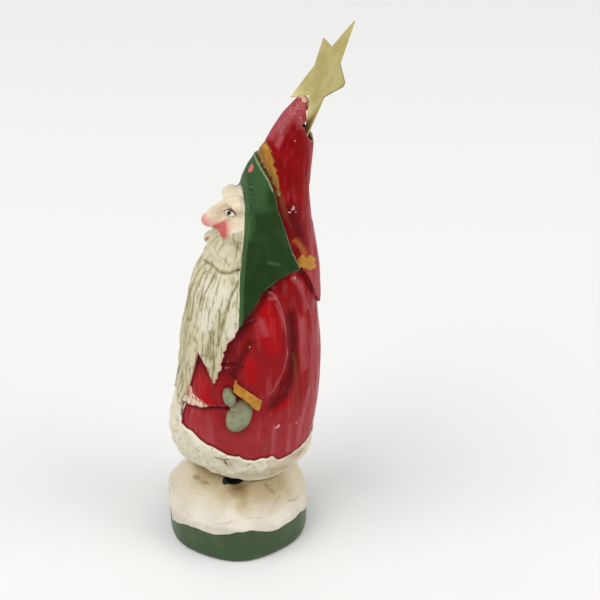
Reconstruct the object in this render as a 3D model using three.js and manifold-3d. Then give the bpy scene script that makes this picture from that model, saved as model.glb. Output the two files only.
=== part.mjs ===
// A carved and painted wooden santa, standing on a snow mound, with a sheet-brass star in his hat.
//
// Millimetres, +Z up. The origin is the centre of the plinth's underside.
// He faces -Y, and his left side is +X.

import * as THREE from 'three';
import { mergeVertices } from 'three/addons/utils/BufferGeometryUtils.js';
import Module from 'manifold-3d';

const wasm = await Module();
wasm.setup();

// Driving dimensions of the whole object
const GAP = 0.3; // between pieces that touch
const RING_STEP = 6; // height between two rings of a carved body
const FIGURE_SIDES = 36;
const BEARD_SIDES = 52;
const FACE_SIDES = 28;
const ROUND_SIDES = 14; // of a nose, a cheek or a mitten
const ROUND_RINGS = 10;
const BEYOND = 60; // past the figure on any side
const QUARTER_TURN = Math.PI / 2;

// The seat, where the figure's underside meets the top of the snow
const SEAT_Z = 30.3;
const SEAT_SLOPE = -0.075; // it falls towards the back
const SEAT_FADE = 16; // height over which the lowest rings lose that slope
const SEAT_PINCH = 1.3; // the hem's underside comes to a blunt point in front and behind
const NECK_PINCH = 0.9;

// Level sections of the carved body: height, front, back, half width and sideways shift
const ROBE = [
  [30.3, -18.0, 29.0, 14.6, 0],
  [33, -20.2, 30.0, 16.8, 0],
  [37, -22.6, 30.8, 20.2, 0],
  [43, -24.7, 31.3, 23.0, 0],
  [51, -25.6, 32.2, 24.4, 0],
  [60, -24.4, 33.6, 24.9, 0],
  [71, -20.8, 34.8, 24.8, 0],
  [87, -17.4, 34.7, 23.8, 0],
  [98, -15.6, 34.0, 22.6, 0],
  [108, -13.6, 33.2, 21.2, 0],
  [117, -10.0, 32.6, 19.0, 0],
  [126, -4.0, 31.6, 15.5, 0],
];
const HEAD = [
  [116, -9.0, 30.0, 14.0, 0],
  [124, -8.6, 29.0, 13.6, 0],
  [132, -7.4, 28.0, 12.8, 0],
  [138, -6.2, 27.6, 12.4, 0],
  [143, -4.6, 27.4, 12.0, 0],
  [148, -1.4, 27.2, 11.6, 0],
  [151, 1.4, 27.0, 10.8, 0],
  [155, 6.0, 26.0, 9.0, 0],
  [160, 10.4, 24.0, 6.2, 0],
];
const HOOD = [
  [96, -18.0, 35.1, 24.0, 0],
  [104.5, -16.8, 34.9, 23.2, 0],
  [111, -15.4, 34.9, 22.2, 0],
  [117, -13.0, 34.5, 20.8, 0],
  [122, -9.0, 34.1, 19.4, 0],
  [127, -6.0, 33.4, 18.2, 0],
  [133, -4.0, 32.5, 17.2, 0],
  [140, -2.0, 31.3, 16.2, 0],
  [147, 2.8, 30.6, 15.1, 0],
  [153, 6.0, 30.4, 13.7, 0],
  [159.5, 6.7, 30.8, 12.0, 0.1],
  [164.7, 9.5, 31.3, 10.4, 0.3],
  [169, 12.6, 31.8, 9.1, 0.6],
  [173, 14.3, 31.9, 8.2, 1.1],
  [177.6, 17.2, 31.5, 6.8, 1.6],
  [181.5, 19.6, 31.0, 5.3, 2.0],
  [185, 22.3, 30.8, 3.8, 2.4],
  [187.6, 25.0, 30.3, 2.4, 2.4],
  [188.8, 25.9, 29.5, 1.8, 2.3],
];
const BEARD = [
  [62, -24.6, 20, 19.5, 0],
  [67, -23.9, 20, 20.8, 0],
  [78, -21.7, 20, 22.2, 0],
  [87, -20.5, 20, 22.4, 0],
  [98, -19.3, 20, 21.9, 0],
  [106, -17.5, 20, 21.4, 0],
  [113, -16.4, 20, 20.2, 0],
  [119, -14.4, 20, 18.6, 0],
  [124, -11.6, 20, 16.8, 0],
  [128, -9.4, 20, 15.4, 0],
  [132, -7.4, 20, 13.9, 0],
];

// How far each layer of the carving stands out
const LAPPET_GROWTH = 1.8;
const PEAK_GROWTH = 0.5; // of the green at the hood's peak
const PEAK_FROM = 146; // heights between which the green thins
const PEAK_TO = 166;
const LOCK_DEPTH = 0.5;
const LOCK_COUNT = 12;
const LOCK_SLANT = 0.05; // turn of the locks for each millimetre of height
const FUR_GROWTH = 1.0;
const TUNIC_GROWTH = 1.2;
const SLEEVE_GROWTH = 2.3; // at the back of the arm
const SLEEVE_FRONT_GROWTH = 0.7;
const SLEEVE_FRONT_Y = -4;
const SLEEVE_BACK_Y = 9;
const CUFF_GROWTH = 3.1;

// Outlines seen from his side, as y and z, on both sides of the body
const HOOD_EDGE = [
  [9.5, 172],
  [5.2, 163.5],
  [4.6, 157],
  [4.3, 152.6],
  [3.9, 148.8],
  [3.2, 144],
  [1.2, 132],
  [-0.4, 121],
  [-2.2, 104.8],
  [1.0, 108.9],
  [4.0, 113.8],
  [8.4, 120.2],
  [13.6, 124.4],
  [20.0, 126.4],
  [24.0, 125.2],
  [27.6, 120.0],
  [30.4, 111.8],
  [33.0, 105.6],
  [38.0, 104.4],
  [38.0, 190],
  [9.5, 190],
];
const LAPPET_EDGE = [
  [13.4, 170.6],
  [8.5, 170.6],
  [5.2, 163.5],
  [4.6, 157],
  [4.3, 152.6],
  [3.9, 148.8],
  [3.2, 144],
  [1.2, 132],
  [-0.4, 121],
  [-2.2, 104.8],
  [1.0, 108.9],
  [4.0, 113.8],
  [8.4, 120.2],
  [13.6, 124.4],
  [20.0, 126.4],
  [23.4, 126.0],
  [20.4, 133.4],
  [18.2, 140.6],
  [16.2, 148.6],
  [15.0, 155.6],
  [13.9, 159.8],
  [12.4, 162.8],
  [11.0, 165.6],
  [11.2, 168.2],
];
const SLEEVE_EDGE = [
  [3.0, 113.0],
  [8.4, 122.0],
  [12.4, 119.2],
  [15.6, 113.4],
  [16.8, 104.2],
  [16.9, 94.6],
  [14.8, 86.8],
  [10.6, 79.4],
  [6.4, 75.6],
  [-3.4, 84.2],
  [-3.2, 89.2],
  [-1.4, 96.0],
  [0.8, 103.8],
];
const CUFF_EDGE = [
  [-3.6, 84.8],
  [6.6, 76.1],
  [4.5, 71.7],
  [-4.9, 80.4],
];
const TRIM_EDGE = [
  [-30, 61],
  [-20.5, 58.4],
  [-17.2, 55.7],
  [-12.0, 53.0],
  [-5.8, 49.9],
  [-0.8, 47.9],
  [3.2, 46.6],
  [6.4, 47.4],
  [10.0, 47.2],
  [12.4, 44.9],
  [18.1, 43.6],
  [27.1, 44.4],
  [38.0, 46.0],
  [38.0, 20],
  [-30, 20],
];

// How deep into the body the layers below are cut
const ARM_INSIDE = 8;
const BEARD_INSIDE = 4;
const BAND_INSIDE = -12;
const TUNIC_INSIDE = -7;

// Outlines seen from his front, as x and z
const BEARD_EDGE = [
  [-14.6, 131],
  [-19.0, 119],
  [-21.6, 106],
  [-20.8, 94],
  [-18.4, 83.4],
  [-15.4, 90.4],
  [-12.0, 96.6],
  [-10.6, 84.0],
  [-7.4, 71.0],
  [-4.4, 66.4],
  [-1.6, 74.0],
  [2.6, 66.0],
  [6.9, 66.4],
  [9.4, 73.0],
  [11.0, 84.0],
  [13.3, 93.4],
  [16.6, 86.6],
  [19.0, 81.0],
  [20.6, 88.0],
  [21.4, 98.0],
  [21.8, 106],
  [19.0, 119],
  [14.6, 131],
];
const TUNIC_EDGE = [
  [-30, 76],
  [-21.7, 72.4],
  [-17.6, 70.6],
  [-14.9, 68.3],
  [-9.0, 66.6],
  [9.0, 66.9],
  [12.0, 67.6],
  [14.9, 68.6],
  [17.6, 70.9],
  [21.7, 72.6],
  [30, 76],
  [30, 100],
  [-30, 100],
];
const BAND_EDGE = [
  [-8.6, 74],
  [-8.2, 62],
  [-10.5, 56],
  [-10.5, 44],
  [10.5, 44],
  [10.5, 56],
  [8.2, 62],
  [8.6, 74],
];

// Rounded parts: centre, radii and turns about X, Y and Z in degrees
const NOSE_PARTS = [
  { at: [0, -3.4, 144.6], size: [2.9, 6.6, 4.2], turn: [28, 0, 0] },
  { at: [0, -7.4, 142.2], size: [3.1, 3.6, 3.0], turn: [0, 0, 0] },
];
const NOSTRIL = { at: [2.4, -4.4, 141.2], size: [2.4, 3.4, 2.0], turn: [10, 0, 10] };
const BROW = { at: [4.4, 3.4, 150.2], size: [6.0, 5.0, 2.2], turn: [0, 8, 24] };
const CHEEK = { at: [6.4, 1.6, 140.2], size: [5.6, 6.4, 5.4], turn: [0, 0, 30] };
const MOUSTACHE = { at: [5.0, -3.6, 132.4], size: [7.0, 5.6, 3.2], turn: [0, 22, 28] };
const MITTEN = { at: [23.6, -2.6, 68.4], size: [3.4, 4.9, 7.2], turn: [-22, 0, 0] };
const THUMB = { at: [22.6, -5.8, 77.0], size: [3.0, 2.7, 4.0], turn: [14, 0, 0] };

// The broken back of the hat's tip, seen from his side
const HAT_TIP_X = 1.2; // the two sides broke to different lines
const HOLLOW_WALL = 1.5;
const HOLLOW_EDGE = [
  [27.4, 196],
  [26.2, 187],
  [25.2, 180],
  [25.2, 171.6],
  [38, 171.6],
  [38, 196],
];
const NEAR_BREAK = [
  [28.6, 196],
  [28.1, 187],
  [27.5, 183.4],
  [27.5, 181.4],
  [27.2, 180.3],
  [25.8, 179.9],
  [25.5, 179.1],
  [26.8, 178.5],
  [27.2, 177.2],
  [28.1, 175.4],
  [29.6, 172.9],
  [31.0, 171.8],
  [38, 170.6],
  [38, 196],
];
const FAR_BREAK = [
  [30.2, 196],
  [29.9, 186],
  [29.1, 182],
  [28.8, 177],
  [32.6, 171.8],
  [38, 170.6],
  [38, 196],
];

// The plinth: a green drum with snow heaped on it, drawn in to a neck under the figure
const PLINTH_R = 29.0;
const PLINTH_CENTRE_Y = 0.3;
const PLINTH_SIDES = 52;
const BOTTOM_ROUND = 0.6;
const SNOW_PROUD = 0.5; // of the green wall
const SHOULDER_Z = 18.2; // where the snow turns over from the wall to the slope
const SHOULDER_RISE = 1.6; // higher at the front and lower at the back by this much
const SHOULDER_ROUND = 3.6;
const FLATS = 0.4; // its sides are whittled in by twice this
const FLAT_COUNT = 6;
const FLATS_TURN = 0.37; // radians
const NECK_FRONT = -20.0;
const NECK_BACK = 25.2;
const NECK_HALF_WIDTH = 15.0;
const NECK_NOTCH = { at: [15.5, -3.4, 30.0], size: [5.5, 3.6, 1.5], turn: [-5, 0, 0] };

// Crests and hollows of the snow's lower edge: degrees from his front towards his left, and height
const SNOW_EDGE = [
  [-18, 19.4],
  [-5, 19.2],
  [12, 9.6],
  [40, 13.8],
  [58, 13.4],
  [86, 16.3],
  [113, 12.8],
  [139, 13.2],
  [157, 10.0],
  [180, 14.5],
  [205, 11.0],
  [232, 15.0],
  [258, 10.5],
  [290, 15.5],
  [318, 12.5],
  [342, 19.4],
];

// The star, on its own plane: the long points, then the notches between them
const STAR_CENTRE = [-9.5, 38.4, 192];
const STAR_LEAN = 30; // degrees back from upright
const STAR_THICKNESS = 0.6;
const STAR_OUTLINE = [
  [0.2, 22.1],
  [7.9, 7.6],
  [20.7, 4.6],
  [20.9, 3.0],
  [10.8, -5.5],
  [15.4, -20.6],
  [14.6, -21.2],
  [-2.4, -10.0],
  [-17.6, -17.6],
  [-11.9, -1.3],
  [-17.9, 8.4],
  [-6.1, 8.9],
];

// A smooth curve through the rows of a section table, read at one height
function sectionAt(table, z) {
  const last = table.length - 1;
  if (z <= table[0][0]) return table[0].slice(1);
  if (z >= table[last][0]) return table[last].slice(1);
  let i = 0;
  while (z > table[i + 1][0]) i += 1;
  const [below, from, to, above] = [
    table[Math.max(i - 1, 0)],
    table[i],
    table[i + 1],
    table[Math.min(i + 2, last)],
  ];
  const span = to[0] - from[0];
  const t = (z - from[0]) / span;
  return from.slice(1).map((value, k) => {
    const column = k + 1;
    const slopeIn = (span * (to[column] - below[column])) / Math.max(to[0] - below[0], span);
    const slopeOut = (span * (above[column] - value)) / Math.max(above[0] - from[0], span);
    const rise = to[column] - value;
    const bend = 3 * rise - 2 * slopeIn - slopeOut;
    const twist = slopeIn + slopeOut - 2 * rise;
    return value + slopeIn * t + bend * t * t + twist * t * t * t;
  });
}

// A closed three.js geometry as a solid that can be joined and cut
function solid(geometry) {
  const bare = geometry.clone();
  bare.deleteAttribute('normal');
  bare.deleteAttribute('uv');
  const merged = mergeVertices(bare, 1e-4);
  return new wasm.Manifold(
    new wasm.Mesh({
      numProp: 3,
      vertProperties: new Float32Array(merged.attributes.position.array),
      triVerts: new Uint32Array(merged.index.array),
    }),
  );
}

// And back again, as a geometry for a mesh
function geometryOf(body) {
  const { vertProperties, triVerts } = body.getMesh();
  const geometry = new THREE.BufferGeometry();
  geometry.setAttribute('position', new THREE.BufferAttribute(vertProperties, 3));
  geometry.setIndex(new THREE.BufferAttribute(triVerts, 1));
  geometry.computeVertexNormals();
  return geometry;
}

// A body of oval rings through a section table. growth gives how far a point stands out from it.
function ovalBody(table, growth = noGrowth, sides = FIGURE_SIDES) {
  const bottom = table[0][0];
  const top = table[table.length - 1][0];
  const rings = Math.round((top - bottom) / RING_STEP);
  const geometry = new THREE.CylinderGeometry(1, 1, 1, sides, rings);
  const position = geometry.attributes.position;
  for (let i = 0; i < position.count; i += 1) {
    const z = bottom + (position.getY(i) + 0.5) * (top - bottom);
    const [front, back, halfWidth, shift] = sectionAt(table, z);
    const halfDepth = (back - front) / 2;
    const middle = (front + back) / 2;
    const across = position.getX(i);
    const out = growth(middle - position.getZ(i) * halfDepth, z, across);
    const pinch = Math.abs(across) ** (SEAT_PINCH * seatShare(z));
    const x = shift + across * pinch * (halfWidth + out);
    const y = middle - position.getZ(i) * (halfDepth + out);
    position.setXYZ(i, x, y, z + seatDrop(y, z));
  }
  return solid(geometry);
}

function noGrowth() {
  return 0;
}

// 1 at the seat, falling to 0 where the robe no longer feels its shape
function seatShare(z) {
  return THREE.MathUtils.clamp(1 - (z - SEAT_Z) / SEAT_FADE, 0, 1);
}

// The lowest rings of the robe follow the sloping seat
function seatDrop(y, z) {
  return SEAT_SLOPE * (y - PLINTH_CENTRE_Y) * seatShare(z);
}

// The green hood stands out at the shoulders and thins towards its peak
function lappetGrowth(y, z) {
  return THREE.MathUtils.lerp(LAPPET_GROWTH, PEAK_GROWTH, THREE.MathUtils.smoothstep(z, PEAK_FROM, PEAK_TO));
}

// The sleeve lies on the robe in front and stands out at the arm's back
function sleeveGrowth(y) {
  const share = THREE.MathUtils.smoothstep(y, SLEEVE_FRONT_Y, SLEEVE_BACK_Y);
  return THREE.MathUtils.lerp(SLEEVE_FRONT_GROWTH, SLEEVE_GROWTH, share);
}

// Long locks down the beard
function lockGrowth(y, z, across) {
  return LOCK_DEPTH * Math.cos(LOCK_COUNT * Math.asin(across) + LOCK_SLANT * z);
}

function outlineShape(outline) {
  return new THREE.Shape(outline.map(([across, up]) => new THREE.Vector2(across, up)));
}

// An outline of y and z, drawn out along X
function sideSolid(outline, fromX, toX) {
  const geometry = new THREE.ExtrudeGeometry(outlineShape(outline), {
    depth: toX - fromX,
    bevelEnabled: false,
  });
  geometry.rotateX(QUARTER_TURN);
  geometry.rotateZ(QUARTER_TURN);
  geometry.translate(fromX, 0, 0);
  return solid(geometry);
}

// An outline of x and z, drawn out along Y
function frontSolid(outline, fromY, toY) {
  const geometry = new THREE.ExtrudeGeometry(outlineShape(outline), {
    depth: toY - fromY,
    bevelEnabled: false,
  });
  geometry.rotateX(QUARTER_TURN);
  geometry.translate(0, toY, 0);
  return solid(geometry);
}

function roundedPart({ at, size, turn }) {
  const geometry = new THREE.SphereGeometry(1, ROUND_SIDES, ROUND_RINGS);
  geometry.scale(...size);
  const [turnX, turnY, turnZ] = turn.map(THREE.MathUtils.degToRad);
  geometry.applyMatrix4(new THREE.Matrix4().makeRotationFromEuler(new THREE.Euler(turnX, turnY, turnZ)));
  geometry.translate(...at);
  return solid(geometry);
}

// The same part on his other side
function mirrored({ at: [x, y, z], size, turn: [turnX, turnY, turnZ] }) {
  return { at: [-x, y, z], size, turn: [turnX, -turnY, -turnZ] };
}

// The star's plane: its centre, leaning back, with its outline's first axis along +X
function starPlane() {
  const lean = THREE.MathUtils.degToRad(90 - STAR_LEAN);
  return new THREE.Matrix4()
    .makeTranslation(...STAR_CENTRE)
    .multiply(new THREE.Matrix4().makeRotationX(lean));
}

// An outline that runs clockwise, grown outwards all round
function grownOutline(outline, amount) {
  const points = outline.map(([across, up]) => new THREE.Vector2(across, up));
  return points.map((point, i) => {
    const before = points[(i + points.length - 1) % points.length];
    const after = points[(i + 1) % points.length];
    const arriving = point.clone().sub(before).normalize();
    const leaving = after.clone().sub(point).normalize();
    const outwards = new THREE.Vector2(-arriving.y, arriving.x);
    const mitre = outwards.clone().add(new THREE.Vector2(-leaving.y, leaving.x)).normalize();
    return point.clone().addScaledVector(mitre, amount / mitre.dot(outwards)).toArray();
  });
}

function starGeometry(clearance) {
  const thickness = STAR_THICKNESS + 2 * clearance;
  const geometry = new THREE.ExtrudeGeometry(outlineShape(grownOutline(STAR_OUTLINE, clearance)), {
    depth: thickness,
    bevelEnabled: false,
  });
  geometry.translate(0, 0, -thickness / 2);
  geometry.applyMatrix4(starPlane());
  return geometry;
}

// The figure, carved from one block
function santaFigure() {
  const standingOut = (table, amount) => ovalBody(table, () => amount);
  let body = ovalBody(ROBE)
    .add(ovalBody(HEAD, noGrowth, FACE_SIDES))
    .add(ovalBody(HOOD).intersect(sideSolid(HOOD_EDGE, -BEYOND, BEYOND)))
    .add(ovalBody(HOOD, lappetGrowth).intersect(sideSolid(LAPPET_EDGE, -BEYOND, BEYOND)))
    .add(ovalBody(BEARD, lockGrowth, BEARD_SIDES).intersect(frontSolid(BEARD_EDGE, -BEYOND, BEARD_INSIDE)))
    .add(standingOut(ROBE, FUR_GROWTH).intersect(sideSolid(TRIM_EDGE, -BEYOND, BEYOND)))
    .add(standingOut(ROBE, FUR_GROWTH).intersect(frontSolid(BAND_EDGE, -BEYOND, BAND_INSIDE)))
    .add(standingOut(ROBE, TUNIC_GROWTH).intersect(frontSolid(TUNIC_EDGE, -BEYOND, TUNIC_INSIDE)));
  for (const [fromX, toX] of [[ARM_INSIDE, BEYOND], [-BEYOND, -ARM_INSIDE]]) {
    body = body
      .add(ovalBody(ROBE, sleeveGrowth).intersect(sideSolid(SLEEVE_EDGE, fromX, toX)))
      .add(standingOut(ROBE, CUFF_GROWTH).intersect(sideSolid(CUFF_EDGE, fromX, toX)));
  }
  for (const part of NOSE_PARTS) {
    body = body.add(roundedPart(part));
  }
  for (const part of [NOSTRIL, BROW, CHEEK, MOUSTACHE, MITTEN, THUMB]) {
    body = body.add(roundedPart(part)).add(roundedPart(mirrored(part)));
  }
  return body
    .subtract(standingOut(HOOD, -HOLLOW_WALL).intersect(sideSolid(HOLLOW_EDGE, -BEYOND, BEYOND)))
    .subtract(sideSolid(NEAR_BREAK, HAT_TIP_X, BEYOND))
    .subtract(sideSolid(FAR_BREAK, -BEYOND, HAT_TIP_X))
    .subtract(roundedPart(NECK_NOTCH))
    .subtract(solid(starGeometry(GAP)));
}

// Height of the snow's lower edge, eased from each crest to the next hollow
function snowEdge(angle) {
  const [start] = SNOW_EDGE[0];
  const degrees = start + THREE.MathUtils.euclideanModulo(THREE.MathUtils.radToDeg(angle) - start, 360);
  const next = SNOW_EDGE.findIndex(([at]) => at > degrees);
  const [[fromAngle, fromZ], [toAngle, toZ]] = SNOW_EDGE.slice(next - 1, next + 1);
  return THREE.MathUtils.lerp(fromZ, toZ, THREE.MathUtils.smoothstep(degrees, fromAngle, toAngle));
}

function plinthRadius(angle) {
  return PLINTH_R + FLATS * Math.cos(FLAT_COUNT * (angle - FLATS_TURN));
}

// The snow's slope from shoulder to neck: share of the way in, and share of the way up
const SLOPE_ROWS = [
  [0.12, 0.09],
  [0.36, 0.33],
  [0.66, 0.62],
  [1.0, 1.0],
];

// One side of the plinth from the bottom up, as distances from its middle and heights
function plinthProfile(angle) {
  const radius = plinthRadius(angle);
  const snow = radius + SNOW_PROUD;
  const edge = snowEdge(angle);
  const shoulder = SHOULDER_Z + SHOULDER_RISE * Math.cos(angle);
  const turned = SHOULDER_ROUND * (1 - Math.SQRT1_2);
  return [
    [radius - BOTTOM_ROUND, 0],
    [radius, BOTTOM_ROUND],
    [radius, edge - SNOW_PROUD],
    [snow, edge],
    [snow, Math.max(shoulder - SHOULDER_ROUND, edge + SNOW_PROUD)],
    [snow - turned, Math.max(shoulder - turned, edge + 2 * SNOW_PROUD)],
  ];
}

function snowPlinth() {
  const wallRows = plinthProfile(0).length;
  const rows = wallRows + SLOPE_ROWS.length - 1;
  const geometry = new THREE.CylinderGeometry(1, 1, 1, PLINTH_SIDES, rows);
  const position = geometry.attributes.position;
  const neckY = (NECK_FRONT + NECK_BACK) / 2;
  const neckHalfDepth = (NECK_BACK - NECK_FRONT) / 2;
  for (let i = 0; i < position.count; i += 1) {
    const row = Math.round((position.getY(i) + 0.5) * rows);
    const onAxis = Math.hypot(position.getX(i), position.getZ(i)) < 0.5;
    const angle = Math.atan2(position.getX(i), position.getZ(i));
    const profile = plinthProfile(angle);
    const [wall, wallZ] = profile[Math.min(row, wallRows - 1)];
    const [share, rise] = row < wallRows ? [0, 0] : SLOPE_ROWS[row - wallRows];
    const across = onAxis ? 0 : Math.sin(angle);
    const forward = onAxis ? 0 : Math.cos(angle);
    const neckWidth = NECK_HALF_WIDTH * Math.abs(across) ** NECK_PINCH;
    const x = across * THREE.MathUtils.lerp(wall, neckWidth, share);
    const y = THREE.MathUtils.lerp(PLINTH_CENTRE_Y - forward * wall, neckY - forward * neckHalfDepth, share);
    const seat = SEAT_Z - GAP + SEAT_SLOPE * (y - PLINTH_CENTRE_Y);
    position.setXYZ(i, x, y, THREE.MathUtils.lerp(wallZ, seat, rise));
  }
  return solid(geometry).subtract(roundedPart(NECK_NOTCH));
}

function brassStar() {
  return starGeometry(0);
}

const paintedRed = new THREE.MeshStandardMaterial({ color: 0x97232b, roughness: 0.35, metalness: 0 });
const snowWhite = new THREE.MeshStandardMaterial({ color: 0xd9d2bd, roughness: 0.6, metalness: 0 });
const sheetBrass = new THREE.MeshStandardMaterial({ color: 0xb3a36f, roughness: 0.35, metalness: 1 });

function named(name, geometry, material) {
  const mesh = new THREE.Mesh(geometry, material);
  mesh.name = name;
  return mesh;
}

const santa = new THREE.Group();
santa.add(named('santa_figure', geometryOf(santaFigure()), paintedRed));
santa.add(named('snow_plinth', geometryOf(snowPlinth()), snowWhite));
santa.add(named('brass_star', brassStar(), sheetBrass));

export default santa;
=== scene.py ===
import math

import bmesh
import bpy
import numpy as np
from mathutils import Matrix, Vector


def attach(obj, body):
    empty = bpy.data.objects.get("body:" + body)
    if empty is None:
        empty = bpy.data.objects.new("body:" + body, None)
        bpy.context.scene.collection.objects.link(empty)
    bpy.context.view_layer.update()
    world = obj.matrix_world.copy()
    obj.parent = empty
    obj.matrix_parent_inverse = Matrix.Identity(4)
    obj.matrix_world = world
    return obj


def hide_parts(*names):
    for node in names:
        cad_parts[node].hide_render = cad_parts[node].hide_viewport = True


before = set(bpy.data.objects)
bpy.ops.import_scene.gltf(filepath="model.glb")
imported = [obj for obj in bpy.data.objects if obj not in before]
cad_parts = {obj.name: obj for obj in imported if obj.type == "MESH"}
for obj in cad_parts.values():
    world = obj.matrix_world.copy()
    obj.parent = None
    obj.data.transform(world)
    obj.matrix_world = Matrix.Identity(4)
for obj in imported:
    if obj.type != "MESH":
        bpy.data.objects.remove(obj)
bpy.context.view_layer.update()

# The plinth.
# A short drum of softwood, whittled round, with a heap of snow carved out of its top half. The
# drum's wall is brushed dark green and the snow cream, rubbed with a brown wash, then varnished.

MM = 0.001
WELD = 0.002
SNOW_VOXEL = 0.62
PLINTH_CENTRE_Y = 0.3
DRUM_RADIUS = 28.0
WALL_FROM = 24.5
NECK_TOP = 30.0

# Crests and hollows of the snow's lower edge: degrees from his front towards his left, and height
SNOW_EDGE = [
    (-18, 19.4), (-5, 19.2), (12, 9.6), (40, 13.8), (58, 13.4), (86, 16.3), (113, 12.8),
    (139, 13.2), (157, 10.0), (180, 14.5), (205, 11.0), (232, 15.0), (258, 10.5), (290, 15.5),
    (318, 12.5), (342, 19.4),
]

# The open wedge under the hem on his left: its middle and its radii. Sanding and carving keep off
# it, as far as a share of the radii and an x, and the painted shadow in it ends at another share and x
WEDGE = ((15.5, -3.4, 30.0), (6.0, 4.6, 1.7))
WEDGE_FADE = (1.1, 1.8)
WEDGE_FADE_X = (16.5, 14.5)
WEDGE_PAINTED_SHADOW = 1.25
WEDGE_PAINTED_SHADOW_X = 14.2

# The warmer painted shade on the snow under the robe: the y of its middle, and its length over its width
SHADE_Y = 2.6
SHADE_LENGTH = 1.4

# Brown streaks on the snow just below the robe, on both sides: half width, then a path
BROWN_STREAKS = [
    (7.0, (15.0, -6.0), (16.8, -1.0), (17.5, 8.0), (13.5, 15.0)),
    (5.0, (17.0, 0.0), (21.0, -1.5)),
    (4.5, (6.0, -16.0), (10.0, -11.5), (13.0, -7.0)),
]
BROWN_SPOT = (3.6, (15.8, -3.2), (17.0, -1.4))
KNIFE_NICKS = [
    (1.1, (5.2, -18.8), (7.0, -16.8)),
    (0.9, (9.0, -16.0), (10.4, -13.8)),
    (1.0, (15.6, 9.2), (17.0, 11.8)),
]


def ease(value, start, end):
    """0 up to start, 1 from end, and a smooth rise between them."""
    share = np.clip((value - start) / (end - start), 0.0, 1.0)
    return share * share * (3.0 - 2.0 * share)


def hump(value, middle, reach):
    """1 at the middle, easing to 0 at that reach on both sides."""
    return 1.0 - ease(np.abs(value - middle), 0.0, reach)


def grain(across, along, seed):
    """Smooth random heights from 0 to 1, with about one hill to each unit of across and along."""
    repeat = 64
    table = np.random.RandomState(seed).rand(repeat, repeat)
    column, row = np.floor(across).astype(int), np.floor(along).astype(int)
    to_column, to_row = ease(across - column, 0.0, 1.0), ease(along - row, 0.0, 1.0)
    next_column, next_row = (column + 1) % repeat, (row + 1) % repeat
    column, row = column % repeat, row % repeat
    near = table[column, row] * (1 - to_column) + table[next_column, row] * to_column
    far = table[column, next_row] * (1 - to_column) + table[next_column, next_row] * to_column
    return near * (1 - to_row) + far * to_row


def from_line(across, up, start, end):
    """Distance of each point from a straight line between two places."""
    run, rise = end[0] - start[0], end[1] - start[1]
    along = np.clip(((across - start[0]) * run + (up - start[1]) * rise) / (run * run + rise * rise), 0, 1)
    return np.hypot(across - start[0] - along * run, up - start[1] - along * rise)


def stroked(across, up, strokes):
    """1 along the middle of each stroke, 0 at its sides and less beyond. A stroke is its half width,
    then the places on its path."""
    cover = np.full(len(across), -2.0)
    for half_width, *path in strokes:
        for start, end in zip(path, path[1:]):
            cover = np.maximum(cover, 1.0 - from_line(across, up, start, end) / half_width)
    return cover


def reach_of(points, centre, radii):
    """Distance from a rounded lump's middle, as a share of its radii."""
    return np.sqrt((((points - centre) / radii) ** 2).sum(1))


def fine_block(node, voxel):
    """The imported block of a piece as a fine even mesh, ready to be cut, with its object in the scene."""
    block = bmesh.new()
    block.from_mesh(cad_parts[node].data)
    bmesh.ops.remove_doubles(block, verts=block.verts, dist=WELD * MM)
    rough = bpy.data.meshes.new(node + "_block")
    block.to_mesh(rough)
    block.free()
    rough.materials.clear()
    carving = bpy.data.objects.new(node + "_carving", rough)
    bpy.context.scene.collection.objects.link(carving)
    even = carving.modifiers.new("even", "REMESH")
    even.mode = "VOXEL"
    even.voxel_size = voxel * MM
    even.use_smooth_shade = True
    shaped = bpy.data.meshes.new_from_object(carving.evaluated_get(bpy.context.evaluated_depsgraph_get()))
    carving.modifiers.clear()
    carving.data = shaped
    bpy.data.meshes.remove(rough)
    return carving


def places(mesh):
    """Points of a mesh in millimetres, and its normals."""
    points = np.empty(len(mesh.vertices) * 3)
    mesh.vertices.foreach_get("co", points)
    normals = np.empty(len(mesh.vertices) * 3)
    mesh.vertices.foreach_get("normal", normals)
    return points.reshape(-1, 3) / MM, normals.reshape(-1, 3)


def move_to(mesh, points):
    """Puts the mesh's points at these places, and returns them with the new normals."""
    mesh.vertices.foreach_set("co", (points * MM).ravel())
    mesh.update()
    return places(mesh)


def keep(mesh, kept_values):
    """Stores numbers for each point, for the paint to read."""
    for name, values in kept_values.items():
        mesh.attributes.new(name, "FLOAT", "POINT").data.foreach_set("value", values.astype(np.float32))


def worn(mesh, points, passes, strength):
    """The points after some rounds of sanding, each round drawing a point towards its neighbours."""
    ends = np.empty(len(mesh.edges) * 2, int)
    mesh.edges.foreach_get("vertices", ends)
    one, other = ends.reshape(-1, 2).T
    count = np.bincount(ends, minlength=len(points))[:, None]
    points = points.copy()
    for _ in range(passes):
        total = np.zeros_like(points)
        for axis in range(3):
            total[:, axis] = np.bincount(one, points[other, axis], len(points))
            total[:, axis] += np.bincount(other, points[one, axis], len(points))
        points += strength * (total / count - points)
    return points


def whittled(points, normals, cell, keep_depth, seed):
    """How far each point moves so that the surface breaks into the long flats that a knife leaves.
    Each flat is about one cell wide, in millimetres."""
    longer_upwards = np.array([1.0, 1.0, 0.42])
    point_area = 0.3
    batch = 4000
    count = max(8, int(len(points) * point_area / (cell * cell)))
    cuts = np.random.RandomState(seed).choice(len(points), count, replace=False)
    nearest = np.empty(len(points), int)
    for start in range(0, len(points), batch):
        end = start + batch
        gaps = (points[start:end, None] - points[cuts][None]) * longer_upwards
        turned = 1.0 - normals[start:end] @ normals[cuts].T
        nearest[start:end] = np.argmin((gaps ** 2).sum(2) + turned * cell * cell, 1)
    flat = ((points[cuts][nearest] - points) * normals[cuts][nearest]).sum(1)
    return np.clip(flat, -keep_depth, keep_depth)


def hollows(mesh, points, normals):
    """How deep each point lies below the surface round it, in millimetres."""
    return ((worn(mesh, points, passes=5, strength=0.5) - points) * normals).sum(1)


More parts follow.
